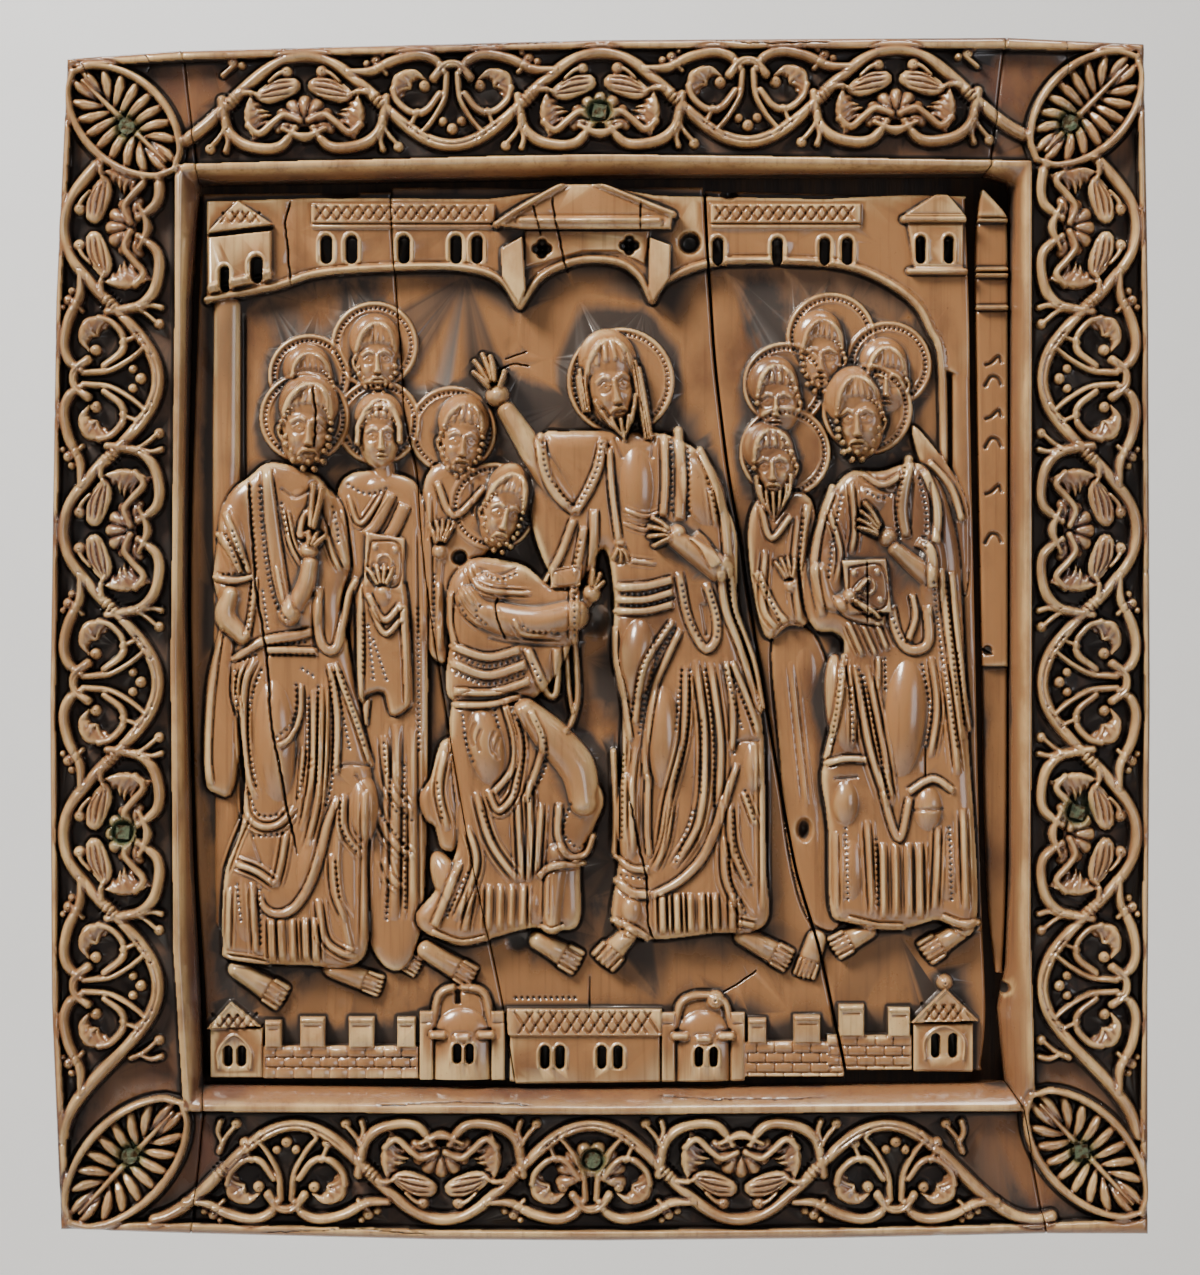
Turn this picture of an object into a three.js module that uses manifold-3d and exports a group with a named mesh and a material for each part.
// Carved walrus-ivory relief plaque: four foliate border strips round a field of four upright
// strips, held by eight metal pins on a dark backing board. Millimetres, +Z up, front faces -Y,
// y = 0 on the back of the board. Plan points are [x, z]; heights are measured from the back.
import * as THREE from 'three';
import { mergeVertices } from 'three/addons/utils/BufferGeometryUtils.js';
import Module from 'manifold-3d';

const wasm = await Module();
wasm.setup();

// Thicknesses and levels
const JOINT = 0.3; // clearance between pieces that touch
const BOARD_THICK = 6;
const BACK_OF_IVORY = BOARD_THICK + JOINT;
const FIELD_THICK = 5;
const GROUND = BACK_OF_IVORY + FIELD_THICK;
const BORDER_THICK = 12;
const RIM = BACK_OF_IVORY + BORDER_THICK;
const BAND_SINK = 3.2;
const BAND_FLOOR = RIM - BAND_SINK;
const LIP_EDGE = GROUND + 1.6; // height of the lip's inner edge
const OUTER_CHAMFER = 1.2;
const FAR = 130; // outside everything
const STEM_TOP = RIM - 0.2;
const LEAF_TOP = RIM - 0.7;
const BUD_TOP = RIM - 1.3;

// Relief heights above the ground of the field
const BACK_HEAD = 3.2;
const MIDDLE_HEAD = 4.6;
const FRONT_HEAD = 6.4;
const BACK_BODY = 2.4;
const FRONT_BODY = 4.2;
const FOLD = 5.6; // crest of a fold on a front figure
const SWEEP = 6.4; // crest of the deep swinging hems
const ARM = 6.6;
const HAND = 6.8;
const THIGH = 6.3;
const SHIN = 5;
const FOOT = 3.2;
const HALO = 1.4;
const BACK_HALO = 1;
const FRONT_HALO = 2;
const WALL = 1.6;
const ROOF_EDGE = 2.4;
const HALO_SIDES = 9;
const HEAD_SIDES = 8;
const ROUND_SIDES = 6; // knees, thighs and other rounded masses

const WINDOW_DEPTH = 2;
const RIDGE_ROOT = 1.2; // how far a raised form reaches into what it stands on
const CUSHION_ROOT = 0.5;

// Surfaces
const BORDER_LOOK = { color: 0xb89a72, roughness: 0.42, metalness: 0 };
const FIELD_LOOK = { color: 0xb0916c, roughness: 0.45, metalness: 0 };
const PIN_LOOK = { color: 0x5d6a4c, roughness: 0.6, metalness: 0.6 };
const BOARD_LOOK = { color: 0x2a211b, roughness: 0.8, metalness: 0 };

const GRID = 0.01; // corners closer than this are one corner

// Pins
const PIN_RADIUS = 1.5;
const PIN_DEPTH = 3; // into the board
const PIN_PROUD = 1.6; // above the floor of the carved band
const ROUND_PIN = 8; // corners round a pin
const SQUARE_PIN = 4;
const SQUARE_PIN_SHARE = 0.9; // of the round pin's width
const PINS = {
  pin_top_left: { at: [-83.9, 90.9], sides: ROUND_PIN },
  pin_top_middle: { at: [-0.1, 93.6], sides: SQUARE_PIN },
  pin_top_right: { at: [83.3, 91.5], sides: ROUND_PIN },
  pin_side_left: { at: [-84.6, -34.2], sides: SQUARE_PIN },
  pin_side_right: { at: [84.6, -30.6], sides: SQUARE_PIN },
  pin_bottom_left: { at: [-83.4, -91.6], sides: ROUND_PIN },
  pin_bottom_middle: { at: [-1.3, -92.3], sides: ROUND_PIN },
  pin_bottom_right: { at: [85.3, -90.8], sides: SQUARE_PIN },
};

// Outlines, all seen from the front
const OUTLINE = [
  [-95.5, -104.5], [-72.2, -105.3], [0, -106.7], [79, -105.3], [97.1, -105.3], [97.1, -64],
  [97.6, -11], [97.3, 60], [96.4, 105.4], [71.9, 106.7], [0, 106.3], [-74, 104.4],
  [-94.4, 102.8], [-96.4, 60], [-97.6, -11], [-97.3, -64],
];
const BOARD = [[-93.5, -102.4], [95, -103.2], [95.6, 0], [94.4, 103.2], [-92.4, 100.8], [-95.6, 0]];
const RIM_INNER = [
  [-93.6, -103.2], [-72.4, -103.4], [0, -104.7], [77.5, -103.4], [95.6, -102.6], [96, -64],
  [96.5, -11], [96.2, 60], [95, 104.2], [71.2, 104.9], [0, 105], [-73.6, 103],
  [-93.4, 101.4], [-95.4, 60], [-96.7, -11], [-96.2, -64],
];
const LIP_OUTER = [
  [-73.8, -83.6], [0, -84.2], [77.2, -83.4], [76.2, -50], [76.6, 0], [76.5, 84.8],
  [0, 86], [-75.4, 84], [-75.2, 55], [-76, -5], [-75.6, -55],
];
const LIP_CREST = [
  [-72.6, -82.4], [0, -82.8], [74.6, -82], [74.4, -50], [74.7, 0], [74.6, 83.4], [0, 84.4],
  [-73.4, 82.6], [-73.9, 55], [-74.8, -5], [-73.9, -55],
];
const OPENING = [
  [-70.2, -78.7], [0, -80.2], [72, -78.4], [71.6, -62], [73, -50], [73.1, 80],
  [68.3, 82.5], [0, 82.3], [-71.3, 80.2], [-73.4, 30], [-73.6, 5], [-72.4, -39],
];
const SEAM_TOP_LEFT = [[-74.3, 108], [-71.2, 78]];
const SEAM_TOP_RIGHT = [[72.2, 108], [67.6, 78]];
const SEAM_BOTTOM_LEFT = [[-69.6, -76], [-72.8, -108]];
const SEAM_BOTTOM_RIGHT = [[72, -74], [79.5, -108]];
const FIELD_LEFT = [[-70, -78.4], [-71.1, -57], [-72.3, -39], [-73.1, 5], [-72.6, 35], [-71, 79.6]];
const SEAM_ONE = [[-15.1, -78.9], [-20.2, -51.6], [-27.5, -12.6], [-31, 10], [-35, 48], [-37.2, 80]];
const SEAM_TWO = [[43.8, -78.3], [38.6, -55], [29.6, -12], [24.4, 20], [20, 55], [18.4, 80.8]];
const SEAM_TWO_WIDTH = 1.1;
const FIELD_RIGHT = [[68, -77.6], [68.2, -42], [67.2, 0], [66, 41], [65, 79.4]];
const EDGE_STRIP = [
  [71.6, -60], [68.9, -60], [67.9, 0], [66.8, 60], [67.2, 78], [68.2, 80.4], [72.6, 75.4], [72.8, 0],
];
const EDGE_STRIP_STEP = -4.8; // the lower part of the narrow strip is sunk below this level

// Scrolls: spacing along the strip and depth of the sunk band they were drawn for
const HALF_PITCH = 13.1;
const STEM_WIDTH = 2.5;
const WAVE_MIDDLE = 10.2;
const WAVE_SWING = 8.8;
const WAVE_STEPS = 4;
const SIDE_STRETCH = 1.027;
const SIDE_PALMETTES = [73, 19.3, -34.5];
const SIDE_CALYXES = [46.2, -7.6, -61.4];
const BOTTOM_MIDDLE = -1.6;
const CORNER_ALMONDS = [
  [[-93.3, 100.5], [-75.5, 83.2]],
  [[94.9, 103.3], [77.4, 85]],
  [[-93.7, -103.3], [-74.2, -82.2]],
  [[95.8, -101.7], [76.5, -80.8]],
];
const ALMOND_BULGE = 7.5; // half the width of an almond
const ALMOND_LEAVES = 5;

function toSolid(geometry) {
  geometry.deleteAttribute('normal');
  geometry.deleteAttribute('uv');
  const merged = mergeVertices(geometry, 1e-4);
  return new wasm.Manifold(new wasm.Mesh({
    numProp: 3,
    vertProperties: merged.attributes.position.array,
    triVerts: new Uint32Array(merged.index.array),
  }));
}

function join(solids) {
  return solids.reduce((whole, solid) => whole.add(solid));
}

// A straight-sided block of the given plan between two heights, with an optional chamfer in front.
function block(plan, base, top, chamfer = 0) {
  const shape = new THREE.Shape(plan.map(([x, z]) => new THREE.Vector2(x, z)));
  const geometry = new THREE.ExtrudeGeometry(shape, {
    depth: top - base - 2 * chamfer,
    bevelEnabled: chamfer > 0,
    bevelThickness: chamfer,
    bevelSize: chamfer,
    bevelOffset: -chamfer,
    bevelSegments: 1,
    curveSegments: 1,
  });
  geometry.translate(0, 0, base + chamfer);
  geometry.rotateX(Math.PI / 2);
  return toSolid(geometry);
}

// A mass of cloth: its sides slope in from the plan at the ground to a flat top.
function cushion(plan, top, slope = 1.8) {
  const shape = new THREE.Shape(plan.map(([x, z]) => new THREE.Vector2(x, z)));
  const geometry = new THREE.ExtrudeGeometry(shape, {
    depth: CUSHION_ROOT,
    bevelThickness: top + CUSHION_ROOT,
    bevelSize: slope,
    bevelOffset: -slope,
    bevelSegments: 1,
  });
  geometry.translate(0, 0, GROUND - 2 * CUSHION_ROOT);
  geometry.rotateX(Math.PI / 2);
  return toSolid(geometry);
}

// A solid from corner positions and triangles, turned to face outward whichever way they run.
function closed(positions, index) {
  const build = (triangles) => {
    const geometry = new THREE.BufferGeometry();
    geometry.setAttribute('position', new THREE.Float32BufferAttribute(positions, 3));
    geometry.setIndex(triangles);
    return toSolid(geometry);
  };
  const solid = build(index);
  return solid.volume() > 0 ? solid : build(index.slice().reverse());
}

// A closed skin through matching cross-sections of [x, height, z] corners.
function loft(sections) {
  const corners = sections[0].length;
  const positions = sections.flat().flatMap(([x, height, z]) => [x, -height, z]);
  const index = [];
  for (let s = 0; s + 1 < sections.length; s += 1) {
    for (let c = 0; c < corners; c += 1) {
      const here = s * corners + c;
      const next = s * corners + ((c + 1) % corners);
      index.push(here, here + corners, next, next, here + corners, next + corners);
    }
  }
  const last = (sections.length - 1) * corners;
  for (let c = 1; c + 1 < corners; c += 1) {
    index.push(0, c, c + 1);
    index.push(last, last + c + 1, last + c);
  }
  return closed(positions, index);
}

function mix(list, t) {
  if (!Array.isArray(list)) {
    return list;
  }
  const place = t * (list.length - 1);
  const i = Math.min(Math.floor(place), list.length - 2);
  return list[i] + (list[i + 1] - list[i]) * (place - i);
}

const ROOF = [[-0.5, 0], [0, 1], [0.5, 0]];
const ROUND = [[-0.5, 0], [-0.34, 0.8], [0.34, 0.8], [0.5, 0]];

// A raised ridge along a smooth line: width and top may be one number or a list along the line.
function ridge(line, width, top, { base = GROUND, profile = ROOF, steps = 4 } = {}) {
  const curve = new THREE.SplineCurve(line.map(([x, z]) => new THREE.Vector2(x, z)));
  const sections = [];
  for (let i = 0; i <= steps; i += 1) {
    const t = i / steps;
    const at = curve.getPoint(t);
    const ahead = curve.getTangent(t);
    const w = mix(width, t);
    const peak = mix(top, t);
    const side = (s) => [at.x - ahead.y * s * w, at.y + ahead.x * s * w];
    const rise = (share) => base + (peak - base) * share;
    const section = profile.map(([s, share]) => [side(s)[0], rise(share), side(s)[1]]);
    section.unshift([side(-0.5)[0], base - RIDGE_ROOT, side(-0.5)[1]]);
    section.push([side(0.5)[0], base - RIDGE_ROOT, side(0.5)[1]]);
    sections.push(section);
  }
  return loft(sections);
}

function aboveGround(top) {
  return Array.isArray(top) ? top.map((value) => GROUND + value) : GROUND + top;
}

function fold(line, width, top, steps = 2) {
  return ridge(line, width, aboveGround(top), { steps });
}

function limb(line, width, top, steps = 2) {
  return ridge(line, width, aboveGround(top), { profile: ROUND, steps });
}

// A low faceted form: a plan outline drawn up to one crest above its middle.
function crest(plan, top, base = BAND_FLOOR) {
  const middle = [0, 1].map((k) => plan.reduce((sum, point) => sum + point[k], 0) / plan.length);
  const root = base - RIDGE_ROOT;
  const positions = plan.flatMap(([x, z]) => [x, -root, z]);
  positions.push(middle[0], -top, middle[1]);
  const index = [];
  plan.forEach((_, i) => {
    const next = (i + 1) % plan.length;
    index.push(i, next, plan.length);
    if (i > 1) {
      index.push(0, i, i - 1);
    }
  });
  return closed(positions, index);
}

// A dome on an oval plan, leaning anticlockwise by lean degrees.
function dome([x, z], wide, high, top, lean = 0, sides = ROUND_SIDES) {
  const geometry = new THREE.SphereGeometry(1, sides, 4);
  geometry.rotateX(Math.PI / 2);
  geometry.scale(wide / 2, top, high / 2);
  geometry.rotateY(-THREE.MathUtils.degToRad(lean));
  geometry.translate(x, -GROUND, z);
  return toSolid(geometry);
}

function disc([x, z], radius, base, top, sides) {
  const geometry = new THREE.CylinderGeometry(radius, radius, top - base, sides);
  geometry.translate(x, -(top + base) / 2, z);
  return toSolid(geometry);
}

// A pin's shaft, or with some clearance the hole for it. A square pin is set with its sides level.
function shank({ at, sides }, clearance, base, top) {
  const square = sides === SQUARE_PIN;
  const radius = (PIN_RADIUS + clearance) * (square ? Math.SQRT2 * SQUARE_PIN_SHARE : 1);
  const geometry = new THREE.CylinderGeometry(radius, radius, top - base, sides);
  geometry.rotateY(square ? Math.PI / 4 : 0);
  geometry.translate(at[0], -(top + base) / 2, at[1]);
  return toSolid(geometry);
}

// A halo: a round plate behind a head.
function halo(centre, radius, top = HALO) {
  return disc(centre, radius, GROUND - 1, GROUND + top, HALO_SIDES);
}

// A head: skull dome, nose and brow wedge, and a beard where there is one.
function head([x, z], wide, high, top, lean = 0, beard = 0) {
  const turn = THREE.MathUtils.degToRad(lean);
  const [cos, sin] = [Math.cos(turn), Math.sin(turn)];
  const at = (u, v) => [x + u * cos - v * sin, z + u * sin + v * cos];
  const back = top <= BACK_HEAD;
  const parts = [dome([x, z], wide, high, top, lean, back ? ROUND_SIDES : HEAD_SIDES)];
  if (!back) {
    const nose = [at(-1, -high * 0.14), at(1, -high * 0.14), at(0, high * 0.16)];
    parts.push(crest(nose, GROUND + top + 1, GROUND + top * 0.6));
  }
  if (beard > 0) {
    const half = wide * 0.36;
    const mouth = -0.2 * high;
    const tip = mouth - beard;
    const plan = [at(-half, mouth), at(half, mouth), at(half * 0.5, tip), at(-half * 0.5, tip)];
    parts.push(crest(plan, GROUND + top * 1.05, GROUND));
  }
  return join(parts);
}

// A foot seen from above its instep, from heel to toes.
function foot(heel, toe, wide, top = FOOT) {
  const [x, z] = [toe[0] - heel[0], toe[1] - heel[1]];
  const length = Math.hypot(x, z);
  const side = [(-z / length) * wide * 0.5, (x / length) * wide * 0.5];
  const plan = [
    [heel[0] - side[0], heel[1] - side[1]], [toe[0] - side[0], toe[1] - side[1]],
    [toe[0] + side[0], toe[1] + side[1]], [heel[0] + side[0], heel[1] + side[1]],
  ];
  return crest(plan, GROUND + top, GROUND);
}

// A hand: a low faceted lump round its middle.
function hand([x, z], wide, high) {
  const half = wide / 2;
  const wrist = z - high * 0.4;
  const tips = z + high * 0.4;
  const plan = [[x - half, wrist], [x + half, wrist], [x + half, tips], [x - half, tips]];
  return crest(plan, GROUND + HAND, GROUND);
}

// The people, from the back of the left group to the front of the right one
function leftGroup() {
  const back = [
    halo([-51.8, 47], 7.4, BACK_HALO),
    halo([-40.2, 52.4], 7.8, BACK_HALO),
    halo([-39.5, 38.7], 7.7),
    halo([-26.3, 37.2], 7.9),
    halo([-52.6, 39.4], 8.1, FRONT_HALO),
    dome([-51.5, 45], 9.5, 7, BACK_HEAD),
    head([-40, 50], 8, 11, BACK_HEAD),
  ];
  const youth = [
    cushion([[-32.5, -52], [-30.6, 14], [-33, 28], [-45.5, 29], [-44, 0], [-41, -52]], BACK_BODY),
    head([-39.5, 36.6], 8.2, 12.5, MIDDLE_HEAD),
    block([[-35, 8], [-34.5, 17.8], [-41.6, 18.9], [-42, 10]], GROUND, GROUND + 3.6),
    crest([[-41.6, 13], [-36.4, 12], [-36.8, 6], [-40.4, 6]], GROUND + 5.2, GROUND),
    cushion([[-33.8, -9], [-35, 8], [-43, 9], [-41.6, -15.8], [-37, -13.6]], 3.8, 1),
    fold([[-36, -16], [-36.6, -50]], 1.8, 3.2, 1),
    foot([-39.4, -54.4], [-32.6, -58.4], 4.4, 2.4),
  ];
  const companion = [
    cushion([[-20, 20], [-19, 29], [-31.5, 29], [-31.4, 2], [-27.4, -4], [-26, 8]], BACK_BODY, 1),
    head([-25, 35.4], 8.6, 12.6, MIDDLE_HEAD, -6, 5),
    crest([[-31, 15.6], [-27, 12.4], [-24, 17.6], [-28, 21]], GROUND + 4.2, GROUND),
  ];
  const elder = [
    cushion([
      [-41, -56.5], [-41, -24], [-44.6, -4], [-43.6, 12], [-50.5, 30.5], [-58.5, 31],
      [-65.6, 26], [-68.4, 14], [-65.3, -4], [-63, -27], [-66.8, -42], [-66.8, -56.5],
    ], FRONT_BODY),
    head([-52.4, 38], 9.8, 14.4, FRONT_HEAD, -4, 6),
    limb([[-66, 22], [-67.2, 12], [-65.8, 3]], 4, FOLD),
    fold([[-59, 29.5], [-57.6, 15], [-55, 4.4]], 2.4, FOLD),
    limb([[-54.6, 4], [-51.2, 12.6]], [5, 4.2], ARM, 1),
    hand([-51.2, 16], 5, 6.6),
    fold([[-50.8, 18], [-49.9, 27]], [2.6, 1.8], ARM, 1),
    fold([[-65.2, -3.4], [-58, -0.8], [-50, -0.4]], 3.2, FOLD),
    fold([[-50.4, 9], [-49.9, 0], [-47.8, -1.8], [-45.2, 3], [-44, 10]], 2, FOLD, 4),
    dome([-57.8, -18], 9.6, 27, THIGH, 4),
    crest([[-66, -41], [-62, -33.6], [-55.6, -34], [-57.4, -44]], GROUND + ARM, GROUND),
    fold([[-64.4, -6], [-63.8, -18], [-61.6, -30], [-56, -31.6]], 1.6, FOLD, 3),
    fold([[-50.4, -6], [-51.6, -36]], 2.6, FOLD, 1),
    fold([[-47.2, -27], [-50, -38], [-54.6, -46.8], [-60, -46]], 2.6, SWEEP, 4),
    limb([[-63.4, -44], [-63.2, -56]], 6.4, SHIN, 1),
    limb([[-43, -26], [-44.2, -55.5]], 6.2, FOLD, 1),
    fold([[-54, -49], [-54.2, -57]], 3, SHIN, 1),
    foot([-64, -59], [-57.4, -63.8], 5.6),
    foot([-46.8, -58.8], [-39.4, -62.2], 4.4),
    fold([[-66.6, 3], [-70, -12], [-68.6, -26.5]], 2.4, 2.6),
  ];
  return [...back, ...youth, ...companion, ...elder];
}

function kneeler() {
  return [
    halo([-19, 23.6], 7.9, FRONT_HALO),
    head([-17.8, 22.4], 8, 13.6, THIGH, -14, 6),
    cushion([[-12.6, -11], [-3.6, 0], [-3.4, 9.6], [-23, 13.5], [-27.4, 7], [-26.4, -11]], FRONT_BODY),
    limb([[-24.4, 7], [-18, 3.4], [-4.6, 5.6]], [8, 8, 6.6], ARM),
    limb([[-3.6, 7.4], [0.4, 12]], [4.6, 3.4], 5.4, 1),
    block([[-8.6, 9], [-3.4, 9.4], [-3, 13.2], [-8.8, 12.6]], GROUND, GROUND + 4.6),
    fold([[-26.2, -5.2], [-19, -7.2], [-12.2, -4.6]], 4, FOLD),
    cushion([
      [-4.4, -51], [-3.4, -40], [0.4, -28], [-1.8, -23], [-12.8, -11], [-26, -11], [-24.6, -30],
      [-26.6, -39], [-32.6, -50], [-20, -54],
    ], 3.8),
    dome([-20, -19.6], 8.6, 17, THIGH, 14),
    limb([[-15.6, -14], [-8.6, -20.4], [-3.4, -30.6]], [6, 8.4, 7], ARM),
    fold([[-16.4, -20], [-14.4, -42.6]], 2, FOLD, 1),
    fold([[-9.4, -24], [-12.4, -33], [-12, -42]], 2, FOLD),
    limb([[-7, -40], [-8.4, -50.6]], 6, SHIN, 1),
    fold([[-24.4, -38], [-29.6, -51]], 2.2, SHIN, 1),
    fold([[-16.4, -43], [-16.4, -51]], 3, SHIN, 1),
    cushion([[-25.6, -22], [-25.4, -33], [-28, -37.4], [-32, -29], [-28.4, -20]], 3.2, 1),
    foot([-30.6, -55], [-22.4, -60.4], 4.8),
    foot([-10.6, -54.4], [-3, -57.8], 5.2),
  ];
}

function centralFigure() {
  return [
    halo([3.7, 45.9], 9.6, FRONT_HALO),
    head([1.6, 44.6], 9.4, 15, FRONT_HEAD, 11, 5),
    fold([[6, 50], [8.6, 43], [8.2, 37]], 3, SHIN),
    cushion([
      [8, -53.4], [29.4, -50.6], [28.6, -16], [24.2, 5], [24.4, 18], [20.6, 29], [16.6, 34],
      [8, 37], [-10.5, 35.6], [-12.4, 14], [-3.6, 10], [2.4, 16], [1.8, 3], [5, -14],
      [3.4, -38], [2.4, -50],
    ], FRONT_BODY),
    limb([[-9, 28], [-16, 40]], [5.8, 4.4], ARM, 1),
    hand([-18.2, 43.8], 5, 6.6),
    fold([[-19, 45.6], [-21, 50.6]], [3.4, 2], 5.4, 1),
    fold([[-10, 35], [-8.6, 27], [-4.4, 22.8]], 2, SWEEP),
    fold([[-4.4, 22.8], [-1, 29], [0.2, 35.4]], 2, SWEEP),
    dome([6.4, 27], 8, 19, FOLD),
    fold([[13.4, 37], [14.2, 22], [14, 9]], 3.4, SWEEP),
    fold([[18.6, 33], [22.4, 26], [23.4, 10], [27.4, -12]], 2.4, FOLD, 3),
    limb([[20.4, 12], [12, 18]], [6, 4.4], ARM, 1),
    fold([[12.4, 18.4], [8.6, 18.8]], [5, 4], ARM, 1),
    fold([[2.6, 7], [8, 7.4], [13.8, 8]], 4, FOLD, 1),
    dome([6.8, -2], 7.6, 17, THIGH),
    dome([11, -18.6], 7.4, 20, THIGH),
    limb([[5.6, -22], [5.6, -45]], 4.4, FOLD, 1),
    fold([[13, 12], [15.4, 2], [18.6, -1.6], [21.2, 3], [18, 12]], 2.4, SWEEP, 4),
    fold([[13, 3], [8.4, -6], [6.4, -18]], 2, SWEEP),
    fold([[15, -2], [15.6, -18], [9.6, -39]], 2, FOLD),
    fold([[20, -4], [21.6, -20], [19.6, -35], [10, -45.6]], 2.4, SWEEP, 4),
    fold([[22, -4], [24.6, -18]], 2, FOLD, 1),
    limb([[27, -20], [27, -46]], 3.6, SHIN, 1),
    ridge([[3, -42.6], [8.6, -44]], 4.2, GROUND + SWEEP, { steps: 1 }),
    fold([[17.8, -43.6], [18.2, -51.6]], 3.4, FOLD, 1),
    foot([5.6, -51.6], [0.6, -58.2], 5.8, 4),
    foot([26, -53], [34, -57.8], 5),
  ];
}

function rightGroup() {
  const back = [
    halo([41.2, 53.8], 8, BACK_HALO),
    halo([33, 45.4], 7.6, BACK_HALO),
    halo([51.4, 48.9], 7.8, BACK_HALO),
    halo([33, 33.3], 8.2),
    halo([47.6, 40.9], 8.1, FRONT_HALO),
    head([39.6, 50.4], 8, 10, BACK_HEAD),
    dome([51.6, 47.4], 7.4, 6.4, BACK_HEAD),
    head([31.6, 43], 8.2, 9, BACK_HEAD),
    head([31.3, 32], 8.4, 12, MIDDLE_HEAD, 4, 8),
    cushion([[29.8, 0.3], [33.6, 9], [38, 12], [37, 24], [27.6, 25], [25.8, 18]], BACK_BODY, 1),
    crest([[29.6, 10], [34, 6], [38, 9], [33, 15]], GROUND + 3.6, GROUND),
    cushion([[56, 38], [64, 27], [65, 12], [58, 28]], 2.6, 0.8),
    cushion([[37, -49], [41, 0.6], [30, 0]], 0.9, 0.3), // worn remains of a lower body
  ];
  const elder = [
    head([46.2, 39.6], 8.7, 14.6, FRONT_HEAD, 2, 6),
    cushion([
      [67, -50], [64.4, -15], [64.3, 9], [62.6, 22], [55.6, 31.5], [45, 30.6],
      [36, 12], [38.4, 2], [43.8, -3], [39.6, -22], [43, -42], [45, -50],
    ], FRONT_BODY),
    limb([[64, 16], [61, 9], [55.6, 13.6]], [4, 5, 4.4], THIGH),
    hand([51, 18], 5, 6),
    fold([[50.4, 19.6], [46, 21.8]], [4, 3], THIGH, 1),
    block([[51.8, 4.7], [50.8, 14.3], [42.8, 14], [44, 4.5]], GROUND, GROUND + 5.4),
    fold([[42.6, 8.6], [44.6, 5], [50, 3.2]], 2.6, SWEEP),
    fold([[57.4, 8], [56.8, 2], [54.6, -1], [52.4, 3], [52.2, 12]], 2, SWEEP, 4),
    fold([[60, 12], [63.6, -20]], 2.2, FOLD, 1),
    fold([[56, 30], [59.6, 14]], 2.4, FOLD, 1),
    dome([43, -12], 7, 21, FOLD, 6),
    dome([54, -13.5], 9, 26, THIGH, -6),
    fold([[46.4, -4], [51.4, -32]], 2.4, FOLD, 1),
    dome([43.8, -26.6], 7, 9, THIGH),
    dome([58, -28.4], 6.4, 8, THIGH),
    limb([[44.4, -30], [46, -48.6]], [6.6, 7.4], SHIN, 1),
    limb([[61.6, -30], [63.6, -48.6]], [6.6, 6], SHIN, 1),
    fold([[54, -33], [54.6, -49]], 3.4, 5.2, 1),
    foot([48.6, -52], [41.4, -55.6], 5),
    foot([64.2, -51.6], [57.4, -56], 5.8),
  ];
  return [...back, ...elder];
}

// Architecture
function box(x0, x1, z0, z1, top, base = GROUND) {
  return block([[x0, z0], [x1, z0], [x1, z1], [x0, z1]], base - CUSHION_ROOT, base + top);
}

function gable(left, peak, right, top) {
  return block([left, right, peak], GROUND - CUSHION_ROOT, GROUND + top);
}

// Recesses for windows, one at each x of the list.
function windows(list, z, wide, high) {
  const half = high / 2;
  return list.map((x) => box(x - wide / 2, x + wide / 2, z - half, z + half, WINDOW_DEPTH + 2, GROUND));
}

// A wall with upright merlons, each given as left side, right side and top.
function battlement(x0, x1, base, wall, merlons) {
  const standing = merlons.map(([a, b, height]) => box(a, b, wall - 1, height, ROOF_EDGE));
  return [box(x0, x1, base, wall, ROOF_EDGE), ...standing];
}

// A round tower open to the front: two side walls, the rounded parapet and an arch behind it.
function drum(x0, x1, base, wall) {
  const middle = (x0 + x1) / 2;
  const pier = 2.7;
  const parapet = [[middle, base], [middle, wall - 7.4]];
  const arch = [[x0 + pier, wall - 5.4], [middle, wall], [x1 - pier, wall - 5.4]];
  return [
    box(x0, x0 + pier, base, wall - 4.4, ROOF_EDGE),
    box(x1 - pier, x1, base, wall - 4.4, ROOF_EDGE),
    ridge(parapet, x1 - x0 - 2 * pier, GROUND + ROOF_EDGE + 1, { profile: ROUND, steps: 1 }),
    ridge(arch, 1.8, GROUND + ROOF_EDGE - 0.4, { steps: 3 }),
  ];
}

function townBelow() {
  const merlonsLeft = [
    [-59.6, -56.8, -68], [-53.4, -49, -67.4], [-44.7, -40.3, -67.4], [-36.2, -32.8, -67.4],
  ];
  const merlonsMiddle = [[26.2, 29.6, -67.6], [34.6, 39.2, -66.8]];
  const merlonsRight = [[44.6, 47, -65], [51.4, 55.4, -65.6]];
  const solids = [
    box(-69.4, -60, -78.1, -69.4, ROOF_EDGE),
    gable([-70, -69.6], [-65.6, -64.6], [-60.4, -69], 3.2),
    ...battlement(-60, -32, -78.4, -72.4, merlonsLeft),
    ...drum(-32.2, -16.8, -78.6, -62.4),
    box(-16.6, 10.8, -79.2, -70, ROOF_EDGE),
    box(-17, 11, -70.6, -65.8, 3),
    ...drum(10.9, 25.8, -79.2, -62.8),
    dome([20.5, -64.3], 4, 4, 2.6),
    ...battlement(25.6, 43.6, -78, -71.6, merlonsMiddle),
    ...battlement(43, 56, -76.8, -70, merlonsRight),
    box(55.6, 66.5, -77.6, -67.6, 2.8),
    gable([55.2, -67.8], [61.4, -62], [67.4, -67.6], 3.4),
    dome([61.4, -61.2], 3, 3, 3.2),
  ];
  const cuts = [
    ...windows([-65], -74.2, 3.6, 3.6),
    ...windows([-23.2], -75, 3.4, 3.6),
    ...windows([-8.4, 1.8], -73.8, 4.2, 4),
    ...windows([19], -74, 3.4, 3.8),
    ...windows([61.2], -72.3, 4.6, 3.8),
  ];
  return { solids, cuts };
}

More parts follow.
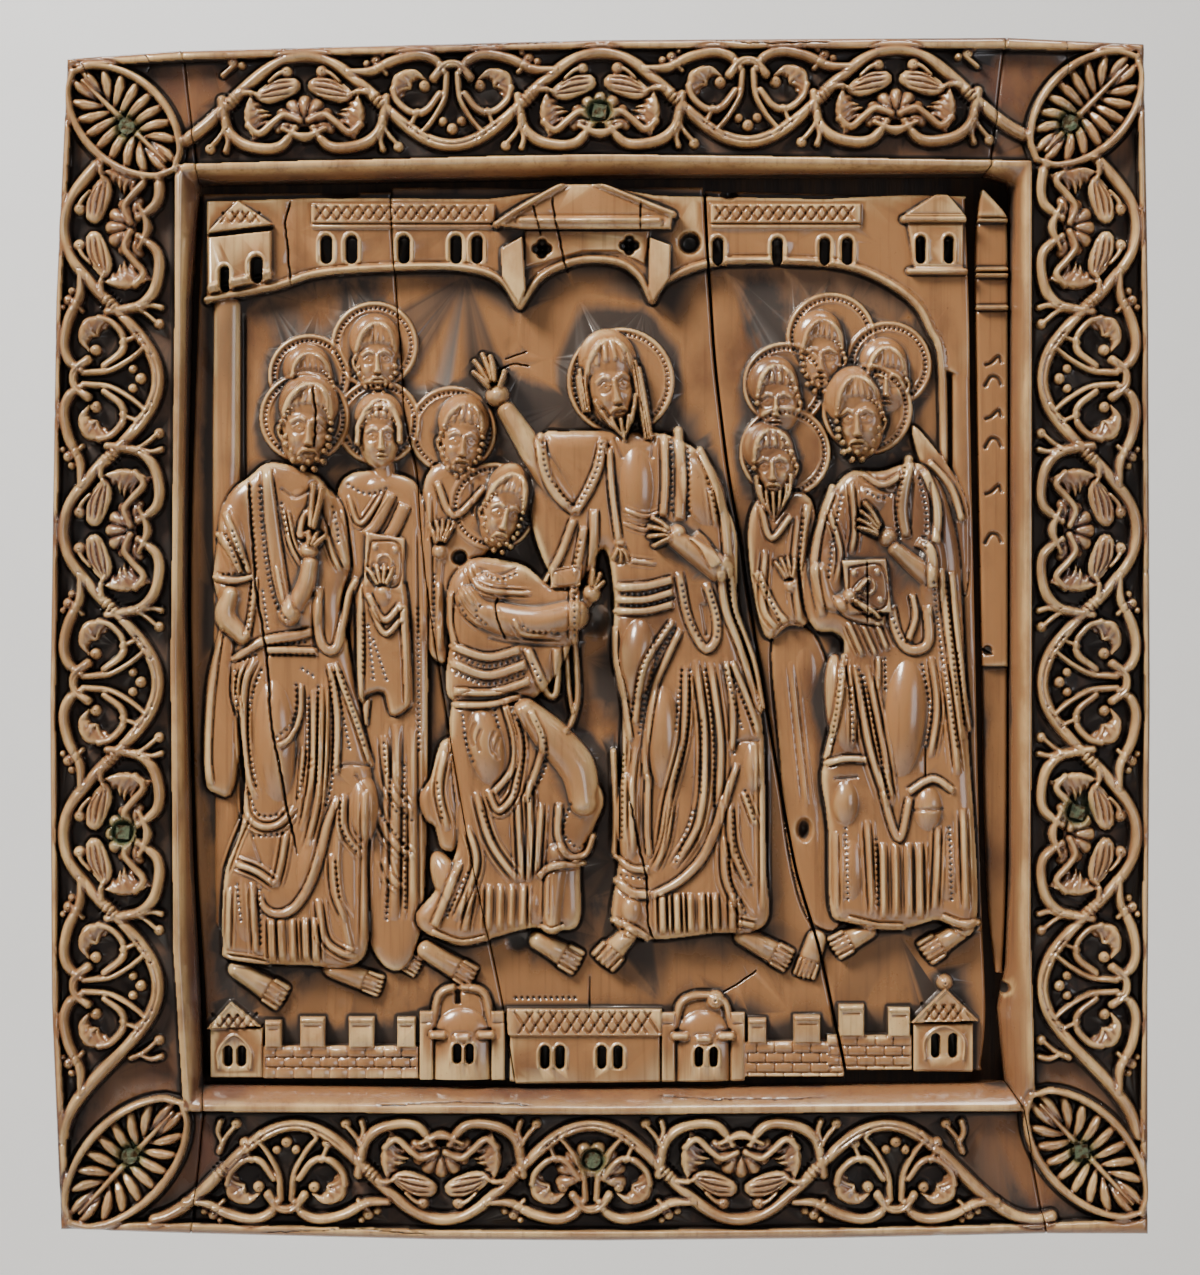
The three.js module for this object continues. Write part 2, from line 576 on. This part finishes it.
function cityAbove() {
  const tent = [
    [-14.4, 59], [-9.4, 66.6], [-2, 67.4], [5, 66.6], [9.3, 60],
    [12.6, 62.6], [13, 74], [-17.4, 74], [-17.4, 64],
  ];
  const moulding = { steps: 4 };
  const solids = [
    box(-70.4, -57.6, 60, 72.4, WALL),
    gable([-70.2, 72.4], [-64.6, 77.6], [-58.4, 73], ROOF_EDGE),
    fold([[-70.6, 60.4], [-57.8, 62]], 2, 3, 1),
    box(-68, -64.4, 28, 59.6, 1.2),
    box(-57, -18.6, 66.6, 73.6, WALL),
    box(-52, -19, 74.3, 77.2, WALL),
    ridge([[-58, 62.4], [-47, 65.8], [-36, 66.6], [-18, 64]], 1.6, GROUND + ROOF_EDGE, moulding),
    box(-14, 10, 73.2, 75.6, ROOF_EDGE),
    gable([-14.4, 75.4], [-3.5, 81.4], [10, 75.4], ROOF_EDGE),
    block(tent, GROUND, GROUND + 2),
    fold([[-14.2, 59], [-10, 65.6], [-2, 67.6], [5, 66], [9.4, 60]], 1.6, 3, 4),
    box(19.6, 52, 66.8, 73.6, WALL),
    box(19.8, 52, 74.6, 77.6, WALL),
    box(53.4, 64.8, 64.6, 75.2, WALL),
    gable([53.2, 75], [61, 80], [64.8, 75.2], ROOF_EDGE),
    box(62, 65, 26, 60, 1.2),
    ridge([[44, 66], [54.4, 62], [59.6, 55], [61, 46]], 1.6, GROUND + ROOF_EDGE, moulding),
    fold([[54, 65.4], [64.6, 65]], 1.8, 2.8, 1),
  ];
  const cuts = [
    ...windows([-66.7], 63.6, 1.6, 4.4),
    ...windows([-61], 65.4, 1.8, 4.4),
    ...windows([-48.6, -44.2, -34.8, -25.7, -21.9, 21, 31.6, 40, 44], 70, 1.8, 4.4),
    ...windows([57.2, 62], 69, 1.8, 5),
    disc([16, 70.5], 1.8, GROUND - 1, GROUND + 4, ROUND_SIDES),
  ];
  return { solids, cuts };
}

// Scroll motifs are drawn at u along the strip and v outward from its lip, then set in place
function placer(origin, along, outward) {
  return (points) => points.map(([u, v]) => [
    origin[0] + along[0] * u + outward[0] * v,
    origin[1] + along[1] * u + outward[1] * v,
  ]);
}

const CARVED = { base: BAND_FLOOR };
const mirror = (points) => points.map(([u, v]) => [-u, v]);
const asDrawn = (points) => points;

function stem(put, line, width, steps) {
  return ridge(put(line), width, STEM_TOP, { ...CARVED, steps });
}

function leaf(put, plan) {
  return crest(put(plan), LEAF_TOP);
}

// The long stem that swings from rim to lip and back along a whole strip.
function wave(put, from, to) {
  const line = [];
  const count = Math.round((to - from) / (HALF_PITCH * 2)) * WAVE_STEPS;
  for (let i = 0; i <= count; i += 1) {
    const u = from + ((to - from) * i) / count;
    line.push([u, WAVE_MIDDLE + WAVE_SWING * Math.cos((Math.PI * u) / (2 * HALF_PITCH))]);
  }
  return ridge(put(line), STEM_WIDTH, STEM_TOP, { ...CARVED, steps: count });
}

function palmette(put) {
  const parts = [leaf(put, [[-4.2, 7.4], [0, 4], [4.2, 7.4], [0, 11.6]])];
  [asDrawn, mirror].forEach((side) => {
    parts.push(stem(put, side([[12.6, 7], [8.4, 1.2], [3, 2.6], [3.4, 6.2]]), STEM_WIDTH * 0.75, 3));
    parts.push(leaf(put, side([[6, 3.4], [10.8, 6.4], [7.8, 12.4]])));
    parts.push(leaf(put, side([[9, 11.6], [3.4, 16.4], [2, 11.6]])));
  });
  return parts;
}

function calyx(put) {
  const parts = [leaf(put, [[-4.8, 4.4], [4.8, 4.4], [1.6, 16], [-1.6, 16]])];
  [asDrawn, mirror].forEach((side) => {
    parts.push(stem(put, side([[12.4, 12.4], [10, 17.8], [5.6, 19], [1.4, 15.8]]), STEM_WIDTH * 0.8, 3));
    parts.push(leaf(put, side([[2.6, 9], [10, 9.6], [8, 15.6], [4.6, 15]])));
  });
  return parts;
}

function spandrel(put, v) {
  return crest(put([[-1.8, v], [0, v - 1.6], [1.8, v], [0, v + 1.6]]), BUD_TOP);
}

function almond(from, to, bulge) {
  const middle = [(from[0] + to[0]) / 2, (from[1] + to[1]) / 2];
  const length = Math.hypot(to[0] - from[0], to[1] - from[1]);
  const ahead = [(to[0] - from[0]) / length, (to[1] - from[1]) / length];
  const put = placer(middle, ahead, [-ahead[1], ahead[0]]);
  const half = length / 2;
  const swell = bulge * 0.86;
  const arc = (s) => put([[-half, 0], [-half * 0.4, s * swell], [half * 0.4, s * swell], [half, 0]]);
  const parts = [-1, 1].map((s) => ridge(arc(s), 1.6, STEM_TOP, { ...CARVED, steps: 4 }));
  for (let i = 0; i < ALMOND_LEAVES; i += 1) {
    const turn = (i * 2 * Math.PI) / ALMOND_LEAVES;
    const at = (reach, spread) => {
      const angle = turn + spread;
      return [Math.cos(angle) * half * reach, Math.sin(angle) * bulge * reach];
    };
    parts.push(leaf(put, [at(0.2, 0), at(0.76, -0.3), at(0.76, 0.3)]));
  }
  return parts;
}

function scrolls() {
  const parts = [];
  const lipTop = (x) => 84.9 + (x + 75) * 0.012;
  const lipBottom = -83.9;
  const topAt = (x) => placer([x, lipTop(x)], [1, 0.012], [0, 0.96]);
  const bottomAt = (x) => placer([x, lipBottom], [1, 0], [0, -1]);
  const sideAt = (z, sign) => placer([sign * 76.2, z], [0, SIDE_STRETCH], [sign, 0]);
  const pitch = 2 * HALF_PITCH;
  [-2, 0, 2].forEach((step) => parts.push(...palmette(topAt(step * pitch))));
  [-1, 1].forEach((step) => parts.push(...calyx(topAt(step * pitch))));
  [-1, 1].forEach((step) => parts.push(...palmette(bottomAt(BOTTOM_MIDDLE + step * pitch))));
  [-2, 0, 2].forEach((step) => parts.push(...calyx(bottomAt(BOTTOM_MIDDLE + step * pitch))));
  parts.push(wave(topAt(0), -3.2 * pitch, 3.2 * pitch));
  parts.push(wave(bottomAt(BOTTOM_MIDDLE + pitch), -4 * pitch, 2.2 * pitch));
  [-1, 1].forEach((sign) => {
    SIDE_PALMETTES.forEach((z) => parts.push(...palmette(sideAt(z, sign))));
    SIDE_CALYXES.forEach((z) => parts.push(...calyx(sideAt(z, sign))));
    parts.push(wave(sideAt(SIDE_PALMETTES[1], sign), -3.8 * pitch, 2.45 * pitch));
  });
  [-2.5, -1.5, -0.5, 0.5, 1.5, 2.5].forEach((step) => {
    const high = Math.abs(step) === 1.5;
    parts.push(spandrel(topAt(step * pitch), high ? 18.6 : 2));
    parts.push(spandrel(bottomAt(BOTTOM_MIDDLE + step * pitch), high ? 2 : 18.4));
  });
  // half scrolls running into the corners
  parts.push(leaf(topAt(-73), [[-2, 4], [3, 7], [3, 12], [-3, 11]]));
  parts.push(leaf(topAt(73), [[-4, 10], [0, 4], [2, 10], [-1, 15]]));
  parts.push(leaf(bottomAt(-73), [[-2, 4], [2, 3], [1, 11], [-3, 12]]));
  parts.push(leaf(bottomAt(72), [[-2, 2], [2, 4], [4, 10], [-1, 11]]));
  parts.push(leaf(sideAt(-79.4, -1), [[0, 3], [3, 7], [2, 12], [-1, 8]]));
  CORNER_ALMONDS.forEach(([outer, inner]) => parts.push(...almond(outer, inner, ALMOND_BULGE)));
  return join(parts);
}

// A ring between two loops of points, as a loft-like frame cut from one block by another.
function ring(outer, inner, base, top) {
  return block(outer, base, top).subtract(block(inner, base - 1, top + 1));
}

// The slope from the lip's crest down to the opening, taken off the frame.
function lipSlope() {
  const fall = 3.4; // how far in the slope's foot lies from its crest
  const over = 0.4; // share by which the slope runs on above the rim
  const low = [];
  const out = [];
  LIP_CREST.forEach(([x, z]) => {
    const length = Math.hypot(x, z);
    const [stepX, stepZ] = [(x / length) * fall, (z / length) * fall];
    low.push([x - stepX, z - stepZ]);
    out.push([x + stepX * over, z + stepZ * over]);
  });
  const highest = RIM + (RIM - LIP_EDGE) * over;
  const lift = (loop, height) => loop.flatMap(([x, z]) => [x, -height, z]);
  const positions = lift(low, LIP_EDGE).concat(lift(out, highest));
  const count = LIP_CREST.length;
  const index = [];
  for (let i = 0; i < count; i += 1) {
    const next = (i + 1) % count;
    index.push(i, next, i + count, next, next + count, i + count);
  }
  const flat = (loop) => loop.map(([x, z]) => new THREE.Vector2(x, z));
  const caps = (loop) => THREE.ShapeUtils.triangulateShape(flat(loop), []);
  caps(low).forEach(([a, b, c]) => index.push(a, c, b));
  caps(out).forEach(([a, b, c]) => index.push(a + count, b + count, c + count));
  return closed(positions, index);
}

function frame() {
  const body = block(OUTLINE, BACK_OF_IVORY, RIM, 0).intersect(
    block(OUTLINE, BACK_OF_IVORY - 2 * OUTER_CHAMFER, RIM, OUTER_CHAMFER),
  );
  const band = ring(RIM_INNER, LIP_OUTER, BAND_FLOOR, RIM + 1);
  const carving = scrolls().intersect(block(RIM_INNER, BAND_FLOOR - 2, RIM + 2));
  let whole = body.subtract(band).subtract(lipSlope()).add(carving);
  whole = whole.subtract(block(OPENING, 0, RIM + 4));
  Object.values(PINS).forEach((pin) => {
    whole = whole.subtract(shank(pin, JOINT, 0, RIM + 4));
  });
  return whole;
}

// Everything of ivory inside a plan, which cuts the carving into its separate pieces
function between(points) {
  return block(points, BACK_OF_IVORY, RIM + 6);
}

function shift(line, by) {
  return line.map(([x, z]) => [x + by, z]);
}

function borderPieces() {
  const whole = frame();
  const half = JOINT / 2;
  const [bottomLeft, bottomRight] = [SEAM_BOTTOM_LEFT, SEAM_BOTTOM_RIGHT];
  const [topLeft, topRight] = [SEAM_TOP_LEFT, SEAM_TOP_RIGHT];
  const turned = (line) => line.slice().reverse();
  const left = [
    [-FAR, -FAR], ...shift(turned(bottomLeft), -half), [-60, 0],
    ...shift(turned(topLeft), -half), [-FAR, FAR],
  ];
  const right = [[FAR, -FAR], [FAR, FAR], ...shift(topRight, half), [60, 0], ...shift(bottomRight, half)];
  const top = [...shift(turned(topRight), -half), ...shift(topLeft, half)];
  const bottom = [...shift(turned(bottomLeft), half), ...shift(bottomRight, -half)];
  return {
    border_left: whole.intersect(between(left)),
    border_right: whole.intersect(between(right)),
    border_top: whole.intersect(between(top)),
    border_bottom: whole.intersect(between(bottom)),
  };
}

// The narrow strip at the right, with two cornices and its lower part sunk.
function edgeStrip() {
  const root = block([[60, -70], [76, -70], [76, 84], [60, 84]], BACK_OF_IVORY, GROUND);
  const body = box(60, 76, EDGE_STRIP_STEP, 84, 1.2);
  const cornices = [[75.4, 73.8], [65.6, 65.2]].map(([from, to]) => (
    ridge([[66, from], [74, to]], 1.4, GROUND + 2, { steps: 1 })
  ));
  return join([root, body, ...cornices]).intersect(between(EDGE_STRIP));
}

function fieldPieces() {
  const town = townBelow();
  const city = cityAbove();
  const relief = join([
    ...city.solids, ...town.solids, ...leftGroup(), ...centralFigure(), ...kneeler(), ...rightGroup(),
  ]);
  const recesses = join([...town.cuts, ...city.cuts]);
  const slab = block([[-78, -82], [78, -82], [78, 84], [-78, 84]], BACK_OF_IVORY, GROUND);
  const whole = slab.add(relief).subtract(recesses);
  const gap = JOINT / 2;
  const wide = SEAM_TWO_WIDTH / 2;
  const strip = (left, right) => whole.intersect(between([...right, ...left.slice().reverse()]));
  return {
    field_strip_1: strip(FIELD_LEFT, shift(SEAM_ONE, -gap)),
    field_strip_2: strip(shift(SEAM_ONE, gap), shift(SEAM_TWO, -wide)),
    field_strip_3: strip(shift(SEAM_TWO, wide), FIELD_RIGHT),
    field_strip_4: edgeStrip(),
  };
}

function pinPieces() {
  const pieces = {};
  Object.entries(PINS).forEach(([name, pin]) => {
    pieces[name] = shank(pin, 0, BOARD_THICK - PIN_DEPTH, BAND_FLOOR + PIN_PROUD);
  });
  return pieces;
}

function backingBoard() {
  let board = block(BOARD, 0, BOARD_THICK);
  Object.values(PINS).forEach((pin) => {
    board = board.subtract(shank(pin, JOINT, BOARD_THICK - PIN_DEPTH - JOINT, BOARD_THICK + 2));
  });
  return board;
}

function skin(solid) {
  const { vertProperties, triVerts } = solid.getMesh();
  const geometry = new THREE.BufferGeometry();
  geometry.setAttribute('position', new THREE.Float32BufferAttribute(vertProperties, 3));
  geometry.setIndex(Array.from(triVerts));
  return geometry;
}

// The skin with its corners on a fine grid, less any sliver that comes loose there.
function onGrid(solid) {
  const geometry = mergeVertices(skin(solid), GRID);
  const bodies = toSolid(geometry).decompose();
  return skin(bodies.sort((a, b) => b.volume() - a.volume())[0]);
}

function toMesh(name, solid, look) {
  const geometry = onGrid(solid);
  geometry.computeVertexNormals();
  const mesh = new THREE.Mesh(geometry, new THREE.MeshStandardMaterial(look));
  mesh.name = name;
  return mesh;
}

const group = new THREE.Group();
group.name = 'relief_plaque';
const sets = [[borderPieces(), BORDER_LOOK], [fieldPieces(), FIELD_LOOK], [pinPieces(), PIN_LOOK]];
sets.forEach(([pieces, look]) => {
  Object.entries(pieces).forEach(([name, solid]) => group.add(toMesh(name, solid, look)));
});
group.add(toMesh('backing_board', backingBoard(), BOARD_LOOK));

export default group;
